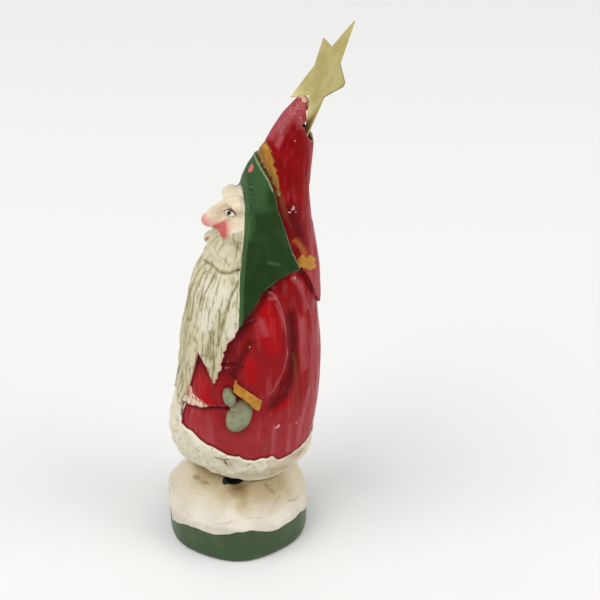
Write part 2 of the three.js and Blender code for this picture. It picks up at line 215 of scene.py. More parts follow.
def paint(colour):
    """An sRGB colour as the linear values that a shader takes. A colour mixed by nodes passes through."""
    if not isinstance(colour, str):
        return colour
    shares = [int(colour[i:i + 2], 16) / 255 for i in (1, 3, 5)]
    return tuple(s / 12.92 if s <= 0.04045 else ((s + 0.055) / 1.055) ** 2.4 for s in shares) + (1.0,)


def add(tree, kind, inputs, out=0, **settings):
    """Adds a node, sets it, gives each input a value or a link, and returns one of its outputs."""
    node = tree.nodes.new("ShaderNode" + kind)
    for name, value in settings.items():
        setattr(node, name, value)
    for key, value in inputs.items():
        if isinstance(value, bpy.types.NodeSocket):
            tree.links.new(value, node.inputs[key])
        else:
            node.inputs[key].default_value = value
    return node.outputs[out]


def new_finish(name):
    """An empty material, its tree, its shader and the object's own coordinates."""
    finish = bpy.data.materials.new(name)
    finish.use_nodes = True
    tree = finish.node_tree
    return finish, tree, tree.nodes["Principled BSDF"], add(tree, "TexCoord", {}, out="Object")


def mottle(tree, place, size, seed, stretch=(1, 1, 1), detail=3.0):
    """Cloudy variation from 0 to 1, with clouds of a size in millimetres."""
    apart = (seed * 0.37, seed * 0.11, 0)
    moved = add(tree, "Mapping", {"Vector": place, "Location": apart, "Scale": stretch})
    return add(tree, "TexNoise", {"Vector": moved, "Scale": 1 / (size * MM), "Detail": detail})


def kept(tree, name, wobble=None, sway=0.0):
    """A number kept on the mesh, swayed by a mottle where a brush made its edge."""
    value = add(tree, "Attribute", {}, out="Fac", attribute_name=name)
    if wobble is None:
        return value
    centred = add(tree, "Math", {0: wobble, 1: -0.5}, operation="ADD")
    return add(tree, "Math", {0: centred, 1: sway, 2: value}, operation="MULTIPLY_ADD")


def coated(tree, ground, coats):
    """Coats of paint over a ground. Each is its colour, the pattern that places it, the pattern's values
    where it is bare and where it is full, and how far it covers there."""
    ground = paint(ground)
    for colour, pattern, bare, full, cover in coats:
        share = add(tree, "MapRange", {0: pattern, 1: bare, 2: full, 4: cover})
        ground = add(tree, "Mix", {0: share, 6: ground, 7: paint(colour)}, out=2, data_type="RGBA")
    return ground


def rough_bump(tree, shader, height, depth):
    """Gives a shader the small relief of brush marks, so many millimetres deep."""
    bump = add(tree, "Bump", {"Strength": 0.5, "Distance": depth * MM, "Height": height})
    tree.links.new(bump, shader.inputs["Normal"])


def finished(carving, node, name):
    """Makes a carving the piece that stands for its block."""
    carving.name = name
    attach(carving, "root")
    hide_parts(node)


plinth = fine_block("snow_plinth", SNOW_VOXEL)
points, normals = places(plinth.data)
near_wedge = 1.0 - ease(reach_of(points, *WEDGE), *WEDGE_FADE)
near_wedge = near_wedge * ease(points[:, 0], *WEDGE_FADE_X)
points += (worn(plinth.data, points, passes=14, strength=0.5) - points) * (1.0 - near_wedge)[:, None]
points, normals = move_to(plinth.data, points)
x, y, z = points.T

turn = np.degrees(np.arctan2(x, PLINTH_CENTRE_Y - y))
edge_at = (turn - SNOW_EDGE[0][0]) % 360 + SNOW_EDGE[0][0]
edge_z = np.zeros(len(points))
for (start, low), (end, high) in zip(SNOW_EDGE, SNOW_EDGE[1:]):
    here = (edge_at >= start) & (edge_at <= end)
    edge_z[here] = low + (high - low) * ease(edge_at[here], start, end)
edge_z += 0.5 * (grain(turn / 6, turn * 0, 3) - 0.5)
above = z - edge_z
around = np.radians(turn) * DRUM_RADIUS
wall = ease(np.hypot(x, y - PLINTH_CENTRE_Y), WALL_FROM, WALL_FROM + 2) * ease(z, 0.2, 1.2)
snow = ease(above, -0.1, 0.1)
nicks = np.clip(stroked(np.abs(x), y, KNIFE_NICKS), 0, 1) * ease(z, 19, 21)

lift = 0.35 * (ease(above, -0.25, 0.25) - ease(above, -1.2, 1.2)) * wall
lift += snow * 0.9 * (grain(around / 7, z / 5, 5) - 0.5)
lift += snow * 0.5 * (grain(x / 3.4, y / 3.4, 6) - 0.5)
lift += snow * 0.22 * (grain(x / 1.5, y / 1.5, 7) - 0.5)
lift += whittled(points, normals, cell=8.5, keep_depth=0.7, seed=11) * (0.1 + 0.75 * snow)
lift -= 0.7 * nicks
lift *= ease(z, 0.0, 1.0) * (1 - ease(z, NECK_TOP - 1.5, NECK_TOP)) * (1 - near_wedge)
points, normals = move_to(plinth.data, points + normals * lift[:, None])
points += (worn(plinth.data, points, passes=1, strength=0.4) - points) * (1.0 - near_wedge)[:, None]
points[:, 2] = np.maximum(points[:, 2], 0.0)
points, normals = move_to(plinth.data, points)
x, y, z = points.T
keep(plinth.data, {
    "snow": above,
    "hollow": hollows(plinth.data, points, normals),
    "hem_shade": np.hypot(x, (y - SHADE_Y) / SHADE_LENGTH),
    "height": z,
    "wedge": np.minimum(WEDGE_PAINTED_SHADOW - reach_of(points, *WEDGE), (WEDGE_PAINTED_SHADOW_X - x) * 0.4),
    "run": stroked(np.abs(x), y, BROWN_STREAKS),
    "spot": stroked(x, y, [BROWN_SPOT]),
    "nick": nicks,
})

# Snow: matt cream emulsion over wood, washed with thin brown that stays in the cuts, with a warmer,
# darker painted shade under the robe's hem. The wall is one even coat of deep green under satin
# varnish, darker along its foot, with a painted shadow line just under the snow's edge.
plinth_finish, tree, shader, place = new_finish("plinth_snow_cream_and_bottle_green_under_satin_varnish")
broad = mottle(tree, place, 11, 1)
patchy = mottle(tree, place, 3.6, 2)
fine = mottle(tree, place, 0.8, 3, detail=4.0)
cream = coated(tree, "#d0c9b9", [
    ("#d9d3c5", broad, 0.44, 0.58, 1.0),
    ("#d6c8b6", patchy, 0.52, 0.66, 0.5),
    # painted shade: warmer, darker snow under the robe's hem
    ("#c9ba9a", kept(tree, "hem_shade", patchy, 7.0), 25.0, 16.5, 0.75),
    ("#ad976c", kept(tree, "run", patchy, 0.7), -0.1, 0.8, 0.8),
    ("#8f7a52", kept(tree, "run", fine, 3.0), 0.7, 1.3, 0.5),
    ("#7d5f36", kept(tree, "spot", patchy, 0.6), -0.1, 0.8, 0.85),
    ("#a3926c", kept(tree, "hollow", patchy, 0.1), 0.02, 0.16, 0.6),
    ("#857558", kept(tree, "nick", fine, 0.9), 0.3, 0.9, 0.6),
    ("#a9997a", fine, 0.6, 0.76, 0.3),
    # near black painted into the open wedge under the hem: painted shadow
    ("#120c08", kept(tree, "wedge", fine, 0.1), 0.0, 0.15, 1.0),
])
green = coated(tree, "#354a29", [
    ("#3e5432", broad, 0.45, 0.6, 0.8),
    ("#2e4123", patchy, 0.55, 0.7, 0.4),
    ("#1c2814", kept(tree, "height"), 1.4, 0.2, 0.8),
    # a dark line just under the snow's edge: painted shadow of the edge
    ("#201f12", kept(tree, "snow", fine, 0.4), -0.7, -0.1, 0.8),
])
plinth_colour = coated(tree, green, [(cream, kept(tree, "snow", patchy, 0.5), -0.12, 0.12, 1.0)])
tree.links.new(plinth_colour, shader.inputs["Base Color"])
matt = add(tree, "MapRange", {0: kept(tree, "snow"), 1: -0.12, 2: 0.12, 3: 0.34, 4: 0.6})
tree.links.new(matt, shader.inputs["Roughness"])
rough_bump(tree, shader, fine, 0.08)
shader.inputs["Specular IOR Level"].default_value = 0.35
plinth.data.materials.append(plinth_finish)
finished(plinth, "snow_plinth", "snow_plinth_carved")

# The santa.
# One tall block of softwood, carved with a knife and a veiner: hood, lappets, beard, sleeves and fur
# are steps and grooves in it. It is painted by hand, rubbed with a brown wash and varnished.

FIGURE_VOXEL = 0.62
SEAT_TOP = 30.6

# Distances round him are angles about an upright line, times one radius for his whole height
ROUND = 22.0
ROUND_CENTRE_Y = 8.0

# Sanding fades out between these heights, and keeps this share of the hat's tip crisp
CRISP_FROM = (164.0, 172.0)
CRISP_SHARE = 0.85

# The painted shadow of the wedge goes up under the hem as far as this share of its radii
WEDGE_SHADOW_SHARE = 1.2

# Outlines seen from his side, as y and z, the same on both sides
LAPPET_EDGE = [
    (13.4, 170.6), (8.5, 170.6), (5.2, 163.5), (4.6, 157), (4.3, 152.6), (3.9, 148.8), (3.2, 144),
    (1.2, 132), (-0.4, 121), (-2.2, 104.8), (1.0, 108.9), (4.0, 113.8), (8.4, 120.2), (13.6, 124.4),
    (20.0, 126.4), (23.4, 126.0), (20.4, 133.4), (18.2, 140.6), (16.2, 148.6), (15.0, 155.6),
    (13.9, 159.8), (12.4, 162.8), (11.0, 165.6), (11.2, 168.2),
]
CAPE_EDGE = [
    (20.0, 126.4), (24.0, 125.2), (27.6, 120.0), (30.4, 111.8), (33.0, 105.6), (38.0, 104.4),
    (38.0, 190.0), (9.5, 190.0), (13.0, 163.0), (16.2, 148.6), (20.4, 133.4),
]
SLEEVE_EDGE = [
    (3.0, 113.0), (8.4, 122.0), (12.4, 119.2), (15.6, 113.4), (16.8, 104.2), (16.9, 94.6), (14.8, 86.8),
    (10.6, 79.4), (6.4, 75.6), (-3.4, 84.2), (-3.2, 89.2), (-1.4, 96.0), (0.8, 103.8),
]
CUFF_EDGE = [(-3.6, 84.8), (6.6, 76.1), (4.5, 71.7), (-4.9, 80.4)]
TRIM_EDGE = [
    (-34, 61), (-20.5, 58.4), (-17.2, 55.7), (-12.0, 53.0), (-5.8, 49.9), (-0.8, 47.9), (3.2, 46.6),
    (6.4, 47.4), (10.0, 47.2), (12.4, 44.9), (18.1, 43.6), (27.1, 44.4), (40.0, 46.0), (40.0, 20),
    (-34, 20),
]
GOLD_EDGE = [
    (9.0, 168.8), (9.4, 171.8), (13.6, 172.0), (15.0, 170.8), (15.5, 167.2), (16.1, 162.8), (16.7, 158.6),
    (17.1, 153.6), (15.4, 157.0), (14.4, 160.4), (12.8, 163.4), (11.2, 166.2),
]
OCHRE_PATCH = [
    (22.6, 128.6), (23.6, 131.2), (25.0, 131.6), (26.0, 129.4), (28.6, 129.0), (31.0, 126.6), (31.2, 122.4),
    (28.0, 123.0), (26.0, 124.8), (23.4, 126.0),
]

# The line of the hood's front edge, as height and y, and the opening that the face looks out of
HOOD_FRONT = [
    (104.8, -2.2), (121, -0.4), (132, 1.2), (144, 3.2), (148.8, 3.9), (152.6, 4.3), (157, 4.6),
    (163.5, 5.2), (172, 9.5),
]
HOOD_OPENING = [
    (100, 40.0), (126, 24.0), (134, 16.5), (140, 13.6), (147, 12.2), (151, 11.4), (155, 9.8), (159, 7.4),
    (161.6, 3.6), (162.8, -0.5), (170, -6.0),
]

# Laid round him, as distance round from his middle and height. A stroke starts with its half width
BEARD_EDGE = [
    (-60, 134), (-60, 112), (-34, 112), (-26.5, 107), (-23.6, 102), (-21.6, 96), (-19.4, 88.6),
    (-16.4, 83.4), (-13.2, 90.4), (-10.1, 96.6), (-8.4, 84.0), (-5.4, 71.0), (-3.1, 66.4),
    (-1.1, 74.0), (1.8, 66.0), (4.8, 66.4), (6.7, 73.0), (8.8, 84.0), (11.3, 93.4), (14.2, 86.9),
    (16.9, 81.0), (19.5, 88.4), (20.6, 95.8), (21.8, 100.1), (23.3, 102), (26.4, 106.8), (34, 112),
    (60, 112), (60, 134),
]
TUNIC_EDGE = [
    (-40, 90), (-40, 73.4), (-25, 72.4), (-18, 70.8), (-9, 68.2), (-5, 67.4), (5, 67.6), (9, 68.4),
    (13.4, 70.0), (16.6, 71.6), (25, 72.6), (40, 73.4), (40, 90),
]
SPLASH = [
    (4.4, 77.0), (7.0, 76.4), (8.8, 73.6), (13.6, 72.2), (16.4, 71.0), (12.0, 69.0), (4.8, 67.8),
]
ROLL_CREASE = [(2.0, 126.4), (10.1, 127.2), (14.6, 125.8), (20.3, 126.4), (23.6, 127.8), (26.4, 131.0)]
LONG_GROOVES = [
    (1.3, (24.2, 123.4), (22.2, 118.6), (20.9, 112.7), (19.9, 105.6), (18.4, 98.6)),
    (1.0, (12.6, 124.0), (10.8, 117.0), (10.4, 110.0)),
    (1.0, (6.4, 124.0), (5.0, 114.0), (5.6, 104.0)),
    (0.9, (15.8, 104.0), (15.0, 97.6), (15.6, 91.0)),
]
SMOOTH_BEARD = [
    (6.0, (13.0, 119.5), (19.0, 117.5)),
    (4.5, (14.5, 113.0), (13.0, 106.0)),
    (3.4, (24.0, 118.0), (23.6, 104.0)),
]
FUR_CRACKS = [(0.8, (18.0, 48.3), (20.2, 46.8), (21.6, 47.6)), (0.8, (20.2, 46.8), (20.6, 44.4))]
# Painted shadow: a dark line beside the fur band, under the tunic's ledge
BAND_SLOT_SHADOW = (0.9, (5.2, 68.2), (5.9, 62.0))
# painted sheen low on his front
LOW_SHEEN_STROKES = [(3.4, (9.6, 72.0), (10.6, 57.0)), (2.4, (14.6, 66.0), (15.4, 56.0))]
LOW_BRIGHT_STROKE = (4.0, (12.5, 80.0), (14.5, 73.0))
# Painted shade: darker tan and pink on the fur's lower edge and towards his back
FUR_SHADE = [
    (5.0, (27.0, 38.0), (46.0, 36.0)),
    (4.0, (45.0, 42.6), (56.0, 41.0)),
    (2.6, (21.0, 46.0), (22.0, 44.0)),
]
PINK_FUR_SHADE = [(5.0, (50.0, 40.0), (60.0, 40.0)), (2.0, (42.0, 37.0), (44.0, 38.5))]
# Grime down his front, and painted shade in the fold under the moustache's roll
BEARD_GRIME_AND_SHADE = [
    (9.0, (0.0, 112.0), (2.0, 92.0), (4.0, 74.0)),
    (5.0, (16.4, 96.0), (17.0, 84.0)),
    (3.2, (20.4, 128.6), (23.6, 129.4)),
]

# Seen from his front, as x and z
BAND_EDGE = [
    (-8.6, 74), (-8.2, 62), (-10.5, 56), (-10.5, 44), (10.5, 44), (10.5, 56), (8.2, 62), (8.6, 74),
]

# The face, seen from his front: distance out from his middle, and height
FACE_EDGE = [
    (-1, 164), (9, 164), (13, 153), (12.6, 145), (10.9, 139), (9.0, 136), (5.0, 134.4), (3.2, 132.2),
    (-1, 131.6),
]
MOUSTACHE_EDGE = [
    (-1, 137.4), (1.2, 138.6), (4.2, 138.8), (8.2, 136.6), (12.4, 132.4), (15.6, 128.6),
    (12.0, 127.2), (7.4, 128.4), (3.4, 131.6), (1.0, 134.4), (-1, 134.8),
]
BROW = (1.7, (1.6, 149.8), (4.4, 151.3), (8.0, 151.0), (10.2, 148.8))
NOSE_CREASE = (0.9, (3.4, 144.0), (4.7, 141.8), (3.9, 139.5))
WHISKERS_FROM = 141.0

# Ovals on the face, each a middle and half sizes out and up
EYE = ((5.0, 146.6), (2.3, 1.3))
EYE_SOCKET = ((5.0, 147.1), (4.6, 3.4))
EYE_SHADE = ((5.0, 147.3), (4.4, 3.0))
EYE_WHITE = ((5.0, 146.35), (2.0, 0.95))
IRIS = ((4.9, 146.5), (0.95, 0.98))
PUPIL = ((4.9, 146.5), (0.5, 0.52))
CHEEK = ((7.2, 140.9), (4.3, 4.0))
CHEEK_PINK = ((7.2, 140.9), (4.085, 3.8))
NOSE_PINK = ((0.0, 142.0), (3.4, 2.9))
LOWER_LIP = ((0.0, 133.5), (2.6, 1.1))

# The box on the face that gets a finer mesh: lowest and highest, how far back, and how far out
FINE_HEIGHTS = (130.5, 155.5)
FINE_BACK = 3.4
FINE_OUT = 12.5

# The mitten and its thumb: centre, radii and lean in degrees
MITTEN = ((23.6, -2.6, 68.4), (3.4, 4.9, 7.2), -22)
THUMB = ((22.6, -5.8, 77.0), (3.0, 2.7, 4.0), 14)

# Paint seen from his side, as half width and then a path of y and z
# Painted sheen: pale pink strokes where the varnished red would catch the light
SHEEN_STROKES = [
    (2.6, (15.8, 174.6), (18.0, 178.2), (20.4, 181.2), (22.8, 184.2)),
    (1.6, (16.9, 172.6), (18.8, 175.7)),
    (1.5, (26.0, 186.4), (27.2, 184.0)),
    (0.8, (12.9, 115.4), (15.5, 108.7), (16.9, 100.2), (16.0, 91.3), (13.9, 81.9), (9.4, 76.4)),
    (1.6, (11.1, 61.6), (10.4, 47.5)),
    (1.8, (18.0, 60.0), (17.2, 47.2)),
    (1.8, (22.6, 61.0), (22.0, 49.6)),
    (1.8, (26.4, 73.0), (23.4, 57.3)),
    (2.0, (7.4, 109.6), (8.2, 104.0)),
    (2.2, (21.0, 122.4), (24.6, 117.0), (26.0, 108.0)),
    (2.6, (24.0, 104.0), (25.0, 84.0)),
    (1.6, (29.8, 170.0), (29.2, 150.0), (30.0, 132.0)),
    (2.6, (27.6, 124.0), (31.0, 114.0), (33.0, 107.0)),
]
# Painted shade: deep red where shade falls beside the lappets, behind the sleeve and by the beard
SHADE_STROKES = [
    (5.0, (20.0, 150.0), (22.4, 142.0), (24.4, 134.0)),
    (4.0, (19.2, 108.0), (20.0, 96.1), (19.2, 85.7), (15.6, 75.7), (10.4, 71.6)),
    (2.6, (2.6, 101.0), (-1.0, 93.6), (-4.0, 86.0)),
    (1.2, (16.8, 147.0), (18.4, 141.0), (20.6, 134.0), (22.0, 129.4)),
]
BRIGHT_STROKES = [
    (6.0, (8.4, 114.0), (9.4, 108.0), (11.0, 99.0)),
    (3.4, (2.0, 93.0), (2.6, 86.0)),
    (4.0, (11.0, 70.8), (16.0, 72.5)),
]
OLIVE_STROKES = [
    (2.0, (16.4, 156.6), (17.4, 152.1), (18.6, 147.6)),
    (1.5, (19.9, 91.6), (21.0, 80.2), (21.4, 67.8)),
    (1.0, (18.5, 147.1), (20.3, 143.2)),
    (1.2, (7.6, 50.4), (8.2, 56.0)),
]
ORANGE_STROKES = [(1.9, (21.8, 137.8), (23.6, 134.6), (25.6, 131.0))]
TARNISHED_STROKES = [(2.3, (11.4, 169.0), (12.6, 165.2), (14.4, 161.6), (15.8, 157.6), (16.6, 153.6))]
SCUFFED_STROKES = [
    (4.2, (23.0, 184.0), (25.6, 187.0)),
    (2.4, (24.8, 184.6), (26.0, 180.4)),
    (2.2, (18.4, 177.6), (21.0, 181.4)),
    (1.6, (14.0, 150.6), (15.0, 148.4)),
    (1.1, (10.6, 117.6), (13.6, 117.0)),
    (1.2, (20.4, 122.0), (21.8, 121.0)),
]
# Painted shadow: a dark brown line in the cut under the green's back edge
GAP_SHADOW_STROKES = [(0.5, (10.6, 167.6), (11.9, 164.4), (13.6, 161.2), (14.9, 157.6), (15.6, 155.4))]
WORN_STROKES = [
    (0.55, (9.4, 167.4), (10.9, 164.2), (12.7, 160.9), (14.0, 157.4)),
    (0.55, (18.0, 141.2), (20.1, 134.0), (23.0, 127.0)),
    (0.35, (19.4, 126.2), (13.6, 124.2), (8.4, 120.0), (4.0, 113.6)),
]
PITTED_STROKES = [(3.6, (7.6, 160.4), (6.8, 152.0), (5.8, 147.6)), (1.8, (5.6, 149.0), (6.0, 144.0))]
# Painted highlight: lighter green on flats of the hood that face the light
LIT_FACET_STROKES = [
    (5.6, (8.0, 168.0), (9.6, 160.0), (7.6, 153.0)),
    (2.8, (5.4, 149.0), (4.0, 141.0)),
    (1.0, (11.0, 131.6), (14.6, 130.6)),
]

# Spots, each a place and a radius: knocks that broke through the paint, on his left only, bare wood
# at the hat's tip, and a dab of pink on the hood
CHIPS = [
    ((23.9, 12.8, 61.7), 1.1), ((24.2, 11.9, 60.8), 0.8), ((20.5, 20.7, 59.6), 0.9),
    ((22.6, 2.1, 111.8), 0.9), ((6.5, 24.8, 183.4), 0.5), ((13.7, 21.3, 150.3), 1.1),
    ((14.3, 19.7, 149.1), 0.8), ((13.9, 22.4, 148.6), 0.6), ((8.9, 23.2, 174.5), 0.5),
    ((15.2, 21.7, 121.8), 0.8), ((22.0, 9.2, 116.0), 0.6), ((24.3, 5.0, 104.0), 0.6),
    ((20.0, 9.0, 131.0), 0.5), ((24.0, 14.8, 94.0), 0.5), ((23.0, 2.6, 99.0), 0.6),
]
RAW_WOOD = [((2.2, 27.0, 189.0), 1.7), ((3.2, 27.4, 188.7), 1.4), ((4.2, 27.6, 188.0), 1.5)]
PINK_DOT = ((2.6, 8.3, 162.4), 2.3)

# The hat's middle line, from its foot to its tip: x and y of both, the foot's height and the rise
HAT_FOOT = (0.6, 22.2)
HAT_TIP = (2.3, 27.7)
HAT_FROM = 169.0
HAT_RISE = 19.8

# The hollow broken open in the hat: the height and the y past which the wood is bare, and painted dark
# inside for the shadow there, the same for its floor, that floor's top, and how far its left lip stands
# back towards the star's leg
BROKEN_FROM = (169.5, 24.5)
HOLLOW_FLOOR = (169.5, 21.0)
HOLLOW_FLOOR_TOP = 173.0
LIP_REACH = 0.8


def inside(across, up, outline):
    """How far each point lies inside a closed outline; outside it the distance is negative."""
    nearest = np.full(len(across), np.inf)
    within = np.zeros(len(across), bool)
    for start, end in zip(outline, outline[1:] + outline[:1]):
        nearest = np.minimum(nearest, from_line(across, up, start, end))
        if end[1] != start[1]:
            crossing = start[0] + (up - start[1]) * (end[0] - start[0]) / (end[1] - start[1])
            within ^= ((end[1] > up) != (start[1] > up)) & (across < crossing)
    return np.where(within, nearest, -nearest)


def out_of(points, centre, radii, lean):
    """Distance outside a leaning rounded lump, roughly, in millimetres. Both sides have one."""
    c, s = math.cos(math.radians(lean)), math.sin(math.radians(lean))
    x, y, z = np.abs(points[:, 0]) - centre[0], points[:, 1] - centre[1], points[:, 2] - centre[2]
    forward, up = y * c + z * s, z * c - y * s
    length = np.sqrt((x / radii[0]) ** 2 + (forward / radii[1]) ** 2 + (up / radii[2]) ** 2)
    return (length - 1.0) * min(radii)


def oval(across, up, centre, size):
    """Distance from an oval's middle, as a share of its half sizes."""
    return np.hypot((across - centre[0]) / size[0], (up - centre[1]) / size[1])


def dotted(points, spots):
    """1 at each spot's middle, 0 at its radius and less beyond."""
    cover = np.full(len(points), -2.0)
    for centre, radius in spots:
        cover = np.maximum(cover, 1.0 - np.sqrt(((points - centre) ** 2).sum(1)) / radius)
    return cover


def step(distance, height, blur=1.6, crisp=0.3):
    """Sharpens a ledge that sanding blurred: distance is from its line, positive on the raised side."""
    return height * (ease(distance, -crisp, crisp) - ease(distance, -blur, blur))


def v_cut(distance, depth, width):
    """A knife cut along a line."""
    return -depth * np.clip(1.0 - np.abs(distance) / width, 0.0, 1.0)


def finer_face(mesh):
    """Halves the mesh's squares on the face, so that eyes and lids can be cut there."""
    shape = bmesh.new()
    shape.from_mesh(mesh)
    low, high = FINE_HEIGHTS[0] * MM, FINE_HEIGHTS[1] * MM
    edges = set()
    for face in shape.faces:
        middle = face.calc_center_median()
        if low < middle.z < high and middle.y < FINE_BACK * MM and abs(middle.x) < FINE_OUT * MM:
            edges.update(face.edges)
    bmesh.ops.subdivide_edges(shape, edges=list(edges), cuts=1, use_grid_fill=True)
    shape.to_mesh(mesh)
    shape.free()


santa = fine_block("santa_figure", FIGURE_VOXEL)
points, normals = places(santa.data)
near_wedge = 1.0 - ease(reach_of(points, *WEDGE), *WEDGE_FADE)
soft = (1.0 - ease(points[:, 2], *CRISP_FROM) * CRISP_SHARE) * (1.0 - near_wedge)
points += (worn(santa.data, points, passes=13, strength=0.5) - points) * soft[:, None]
move_to(santa.data, points)
finer_face(santa.data)
points, normals = places(santa.data)
x, y, z = points.T
side = np.abs(x)
turn = np.arctan2(x, ROUND_CENTRE_Y - y) * ROUND
around = np.abs(turn)
soft = 1.0 - ease(z, *CRISP_FROM) * CRISP_SHARE

# Where each part of the carving lies, as distances inside its outline
ragged = grain(z / 1.3, turn / 1.3, 21) - 0.5
lappet = inside(y, z, LAPPET_EDGE)
cape = inside(y, z, CAPE_EDGE)
sleeve = np.where(side > 8, inside(y, z, SLEEVE_EDGE), -9.0)
cuff = np.where(side > 8, inside(y, z, CUFF_EDGE), -9.0)
trim = inside(y, z, TRIM_EDGE) + 1.2 * (grain(turn / 3.1, z / 30, 22) - 0.5)
trim += 0.6 * (grain(turn / 1.2, z / 30, 23) - 0.5)
band = np.where(y < -8, inside(x, z, BAND_EDGE), -9.0)
fur = np.maximum(trim, band)
front_z, front_y = np.array(HOOD_FRONT).T
rim = np.interp(z, front_z, front_y) - y + 3.0 * np.maximum(0.0, front_z[0] - z)
opening = np.interp(z, *np.array(HOOD_OPENING).T) - side
hair = inside(turn, z, BEARD_EDGE) + 0.8 * ragged * ease(z, 112, 104) * ease(around, 10, 16)
cream = np.minimum(np.maximum(hair, z - 130.0), np.minimum(rim + 0.25, opening))
face = np.minimum(inside(side, z, FACE_EDGE), rim)
moustache = np.minimum(inside(side, z, MOUSTACHE_EDGE), rim)
beard = np.minimum(cream, -face)
tunic = np.where((y < 2) & (hair < 0), inside(turn, z, TUNIC_EDGE), -9.0)
hand = np.minimum(out_of(points, *MITTEN), out_of(points, *THUMB))
on_robe = (lappet < 0) & (cape < 0)

# Ledges at the edges of hood, cape, sleeves, cuffs, mittens, beard, tunic and fur, and the cuts by them
lift = step(lappet, 0.9) * ease(z, 168, 160) + v_cut(lappet + 0.8, 0.6, 1.0) * ease(y, 6, 9)
lift += step(cape, 0.9) * ease(y, 18, 22) + v_cut(cape + 0.8, 0.6, 1.0) * ease(y, 18, 22)
lift -= 0.5 * hump(lappet, 0.0, 1.7) * ease(y, 7, 4) * (lappet > 0)
behind_arm = ease(y, 5, 10)
lift += np.where(on_robe, (step(sleeve, 0.7, 1.9) + 0.3 * hump(sleeve, 0.8, 1.2)) * behind_arm, 0)
lift -= np.where(on_robe, 0.9 * hump(sleeve, -2.6, 2.6) * behind_arm, 0)
lift -= np.where(on_robe, 0.5 * hump(sleeve, -0.6, 2.4) * (1 - behind_arm), 0)
lift += step(cuff, 0.7) + v_cut(cuff + 0.5, 0.3, 0.6)
lift += np.where(hand > 0, v_cut(hand - 0.4, 0.6, 0.8), 0)
lift -= 0.5 * ease(-hand, 0.4, 1.6) * ease(z, 66, 62)
lift += np.where((z < 110) & (lappet < 0), step(hair, 0.8) + v_cut(hair + 0.7, 0.6, 0.9), 0)
tunic_ledge = step(tunic + 0.6 * ragged, 0.9) + v_cut(tunic + 0.8, 0.6, 0.9)
lift += np.where(hair < -0.4, tunic_ledge, 0) * ease(y, 0, -8)
lift += np.where(cream < 0, step(fur, 0.7) + v_cut(fur + 0.4, 0.4, 0.7), 0)

# Beard: broken grooves of several widths that follow the locks, worn smooth in places on each side
lane = turn + 2.4 * (grain(turn / 7, z / 12, 30) - 0.5) + 0.9 * (grain(turn / 3, z / 5, 34) - 0.5)
smooth_patch = np.clip(stroked(around, z, SMOOTH_BEARD) * 1.6, 0, 1)
coarse = np.abs(2 * grain(lane / 1.6, z / 10, 31) - 1)
thin = np.abs(2 * grain(lane / 0.9, z / 5, 32) - 1)
strand = np.clip(1.0 - 3.0 * coarse, 0, 1) + 0.7 * np.clip(1.0 - 2.4 * thin, 0, 1)
strand *= (1.0 - 0.6 * smooth_patch) * (0.55 + 0.9 * grain(turn / 4, z / 9, 35))
grooves = np.clip(stroked(around, z, LONG_GROOVES), 0, 1)
crease = np.clip(stroked(around, z, [(1.5, *ROLL_CREASE)]), 0, 1) * (1 - ease(face, -1, 0))
below_crease = np.interp(around, *np.array(ROLL_CREASE).T) - z
strand = np.maximum(strand, 1.4 * np.maximum(grooves, crease))
on_beard = ease(beard, 0.0, 1.2) * (1 - ease(moustache, -0.3, 0.3))
lift -= on_beard * (0.5 * np.minimum(strand, 1.3) - 0.12)
lift += on_beard * 1.1 * (grain(lane / 5.0, z / 15, 33) - 0.5)
roll = ease(below_crease, 0.4, -0.6) - ease(below_crease, -0.6, -5.0)
lift += on_beard * roll * ease(around, 0, 6)

# Fur: short lumps and nicks, and one crack
lump = grain(turn / 3.6, z / 2.8, 41)
cracks = np.clip(stroked(turn, z, FUR_CRACKS), 0, 1)
on_fur = ease(fur, 0.2, 1.2) * (1 - ease(beard, -0.5, 0.3))
lift += on_fur * (1.5 * (lump - 0.5) + 0.3 * (grain(turn / 1.3, z / 1.2, 42) - 0.5) - 0.9 * cracks)

# Face: a calm one, on equal thirds from hairline to brow, brow to nose, and nose to chin
on_face = ease(face, 0.0, 1.4)
eye_out = oval(side, z, *EYE)
lash = grain(side / 0.8 + z / 5, z / 3.0 - side / 6, 61)
brow = np.clip(stroked(side, z, [BROW]), 0, 1)
lift -= on_face * 0.9 * (1 - ease(oval(side, z, *EYE_SOCKET), 0.2, 1.0))
lift += on_face * np.sqrt(np.clip(1.0 - eye_out ** 2, 0, 1))
lift += on_face * 0.35 * hump(eye_out, 1.12, 0.24)
lift += on_face * ease(brow, 0, 0.6) * (0.7 + 0.5 * (lash - 0.5))
lift += on_face * 0.6 * (1 - ease(oval(side, z, *CHEEK), 0.3, 1.1))
lift -= on_face * 0.45 * np.clip(stroked(side, z, [NOSE_CREASE]), 0, 1)
lift += on_face * 0.6 * (1 - ease(oval(side, z, *LOWER_LIP), 0.4, 1.1))
sweep = np.degrees(np.arctan2(side, WHISKERS_FROM - z))
whisker = np.abs(2 * grain(sweep / 7.0, np.hypot(side, WHISKERS_FROM - z) / 9, 62) - 1)
whisker = np.clip(1.0 - 2.0 * whisker, 0, 1)
lift += step(moustache, 0.9) + v_cut(moustache + 0.5, 0.4, 0.7)
lift -= ease(moustache, 0.1, 0.8) * 0.4 * whisker
strand = np.maximum(strand * (1 - ease(moustache, -0.2, 0.2)), ease(moustache, 0.1, 0.6) * whisker)
strand = strand * (1 - on_face) + 0.5 * ease(brow, 0.1, 0.5) * ease(lash, 0.55, 0.75)

